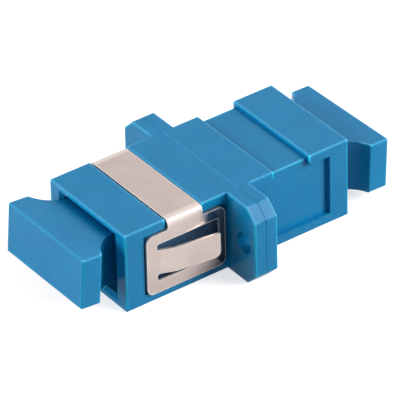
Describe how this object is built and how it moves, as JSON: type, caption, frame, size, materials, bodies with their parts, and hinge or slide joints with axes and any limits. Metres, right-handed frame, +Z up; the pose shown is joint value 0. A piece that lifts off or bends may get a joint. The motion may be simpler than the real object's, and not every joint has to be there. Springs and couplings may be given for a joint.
{
  "type": "fibre optic adapter",
  "caption": "Flanged SC simplex adapter: welded housing around a split alignment sleeve, with a spring steel panel clip and a pull-off dust cap in each port.",
  "frame": {"origin": "on the port axis, in the plane of the weld seam between the two housing halves", "axes": "+X along the ports to the half without the clip, +Y across the ears, +Z up through the wide face that carries the band of the clip"},
  "size_m": [0.0387, 0.0222, 0.0092],
  "materials": {
    "housing": "fine satin moulding",
    "holder": "satin moulding",
    "sleeve": "polished zirconia ceramic",
    "clip": "nickel-plated spring steel",
    "cap": "satin moulding"
  },
  "bodies": {
    "adapter": {"housing_clip_half": "housing", "housing_plain_half": "housing", "sleeve_holder_clip_half": "holder", "sleeve_holder_plain_half": "holder", "split_sleeve": "sleeve", "retaining_clip": "clip"},
    "clip_end_cap": {"dust_cap_clip_end": "cap"},
    "plain_end_cap": {"dust_cap_plain_end": "cap"}
  },
  "joints": [
    {"name": "clip_end_cap_pull", "type": "slide", "parent": "adapter", "child": "clip_end_cap", "axis": [-1, 0, 0], "range_m": [0, 0.04]},
    {"name": "plain_end_cap_pull", "type": "slide", "parent": "adapter", "child": "plain_end_cap", "axis": [1, 0, 0], "range_m": [0, 0.04]}
  ]
}
